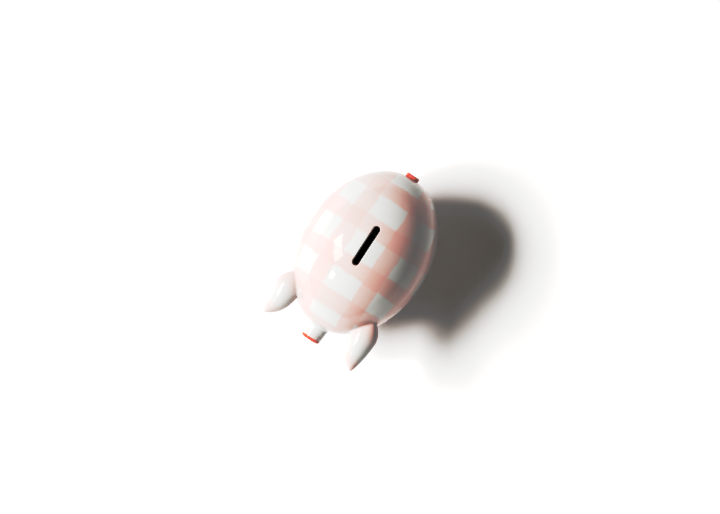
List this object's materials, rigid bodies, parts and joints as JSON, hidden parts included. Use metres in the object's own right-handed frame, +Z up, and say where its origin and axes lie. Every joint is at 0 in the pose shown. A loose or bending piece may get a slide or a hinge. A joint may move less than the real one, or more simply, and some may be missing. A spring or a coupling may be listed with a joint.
{
  "type": "figural coin bank",
  "caption": "Glazed ceramic pig coin bank: hollow egg-shaped body with a coin slot in its back, leaf ears, stub snout, curly tail, stub legs and a rubber belly stopper.",
  "frame": {"origin": "on the table, under the middle of the outline seen from above", "axes": "+Z up, the snout points to -Y and the tail to +Y, +X is the animal's left"},
  "size_m": [0.113, 0.1723, 0.1269],
  "materials": {
    "body_glaze": "gloss",
    "ear_glaze": "gloss",
    "snout_glaze": "gloss",
    "tail_glaze": "gloss",
    "leg_glaze": "gloss",
    "stopper_rubber": "matte"
  },
  "bodies": {
    "bank": {"body_shell": "body_glaze", "left_ear": "ear_glaze", "right_ear": "ear_glaze", "snout": "snout_glaze", "curly_tail": "tail_glaze", "front_left_leg": "leg_glaze", "front_right_leg": "leg_glaze", "rear_left_leg": "leg_glaze", "rear_right_leg": "leg_glaze"},
    "stopper": {"stopper": "stopper_rubber"}
  },
  "joints": [
    {"name": "stopper_pull", "type": "slide", "parent": "bank", "child": "stopper", "axis": [0, 0, -1], "range_m": [0, 0.03]}
  ]
}
